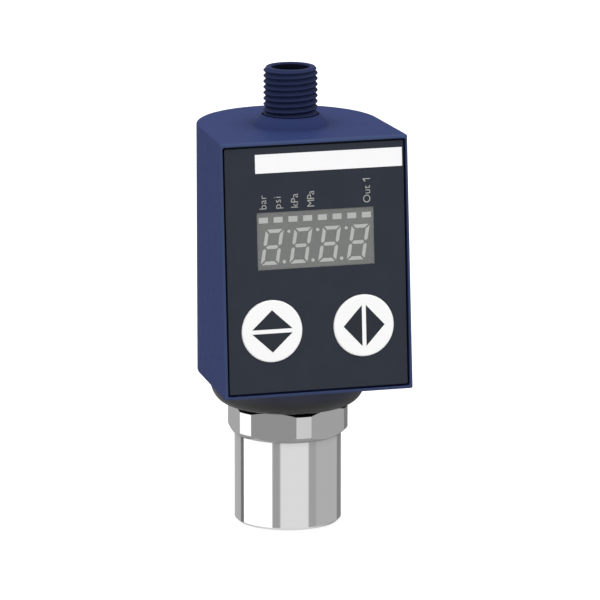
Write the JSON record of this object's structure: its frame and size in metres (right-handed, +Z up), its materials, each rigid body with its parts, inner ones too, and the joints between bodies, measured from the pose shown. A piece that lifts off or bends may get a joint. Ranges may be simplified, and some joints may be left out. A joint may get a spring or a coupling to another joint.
{
  "type": "pressure sensor with display",
  "caption": "Pressure sensor: display head with push buttons that swivels on a steel fitting with a threaded port, and a round plug connector on top.",
  "frame": {"origin": "on the port axis, at the fitting's bottom face", "axes": "+Z up along the port axis, -Y out of the display front, +X to the right seen from the front"},
  "size_m": [0.042, 0.0447, 0.1013],
  "materials": {
    "fitting_steel": "fine turned stainless steel",
    "hardware_steel": "plain steel",
    "seal_rubber": "matt black",
    "cell_ceramic": "fine ceramic",
    "ring_black": "semi-gloss black moulding",
    "housing_navy": "satin dark blue moulding",
    "panel_grey": "matt dark grey sheet",
    "display_grey": "matt mid grey",
    "segment_grey": "matt light grey",
    "lens_clear": "clear lens",
    "button_white": "matt white moulding",
    "mark_dark": "matt dark grey inlay",
    "strip_white": "matt white film",
    "board_green": "solder mask",
    "part_black": "matt black moulding",
    "contact_brass": "plated",
    "lead_sheath": "soft black sheath",
    "capacitor_can": "drawn can"
  },
  "bodies": {
    "process_fitting": {"fluid_fitting": "fitting_steel", "stop_pin": "hardware_steel", "neck_seal": "seal_rubber", "retaining_clip": "hardware_steel", "cell_seal": "seal_rubber", "pressure_cell": "cell_ceramic", "cell_retainer": "hardware_steel", "cell_pin_1": "contact_brass", "cell_pin_2": "contact_brass", "cell_pin_3": "contact_brass", "cell_board": "board_green", "signal_chip": "part_black"},
    "head": {"board_header": "part_black", "board_screw_1": "hardware_steel", "board_screw_2": "hardware_steel", "board_screw_3": "hardware_steel", "board_screw_4": "hardware_steel", "board_spacer_1": "contact_brass", "board_spacer_2": "contact_brass", "cell_lead": "lead_sheath", "connector_harness": "lead_sheath", "connector_seal": "seal_rubber", "connector_shell": "housing_navy", "contact_board": "board_green", "contact_carrier": "part_black", "contact_pin_1": "contact_brass", "contact_pin_2": "contact_brass", "contact_pin_3": "contact_brass", "contact_pin_4": "contact_brass", "controller_chip": "part_black", "display_block": "display_grey", "display_board": "board_green", "display_lens": "lens_clear", "display_segments": "segment_grey", "filter_capacitor": "capacitor_can", "front_panel": "panel_grey", "harness_socket": "part_black", "housing": "housing_navy", "indicator_bars": "segment_grey", "lead_socket": "part_black", "left_switch": "part_black", "main_board": "board_green", "name_strip": "strip_white", "output_driver": "part_black", "panel_gasket": "seal_rubber", "right_switch": "part_black", "ring_screw_1": "hardware_steel", "ring_screw_2": "hardware_steel", "ring_screw_3": "hardware_steel", "spacer_screw_1": "hardware_steel", "spacer_screw_2": "hardware_steel", "swivel_ring": "ring_black"},
    "left_button": {"left_button": "button_white", "left_button_marks": "mark_dark", "left_plunger": "part_black"},
    "right_button": {"right_button": "button_white", "right_button_marks": "mark_dark", "right_plunger": "part_black"}
  },
  "joints": [
    {"name": "head_swivel", "type": "hinge", "parent": "process_fitting", "child": "head", "pos_m": [0, 0, 0.03], "axis": [0, 0, 1], "range_deg": [-172.5, 172.5]},
    {"name": "left_button_press", "type": "slide", "parent": "head", "child": "left_button", "axis": [0, 0.9968, -0.0802], "range_m": [0, 0.0004], "stiffness_N_per_m": 200, "springref_m": -0.005},
    {"name": "right_button_press", "type": "slide", "parent": "head", "child": "right_button", "axis": [0, 0.9968, -0.0802], "range_m": [0, 0.0004], "stiffness_N_per_m": 200, "springref_m": -0.005}
  ]
}
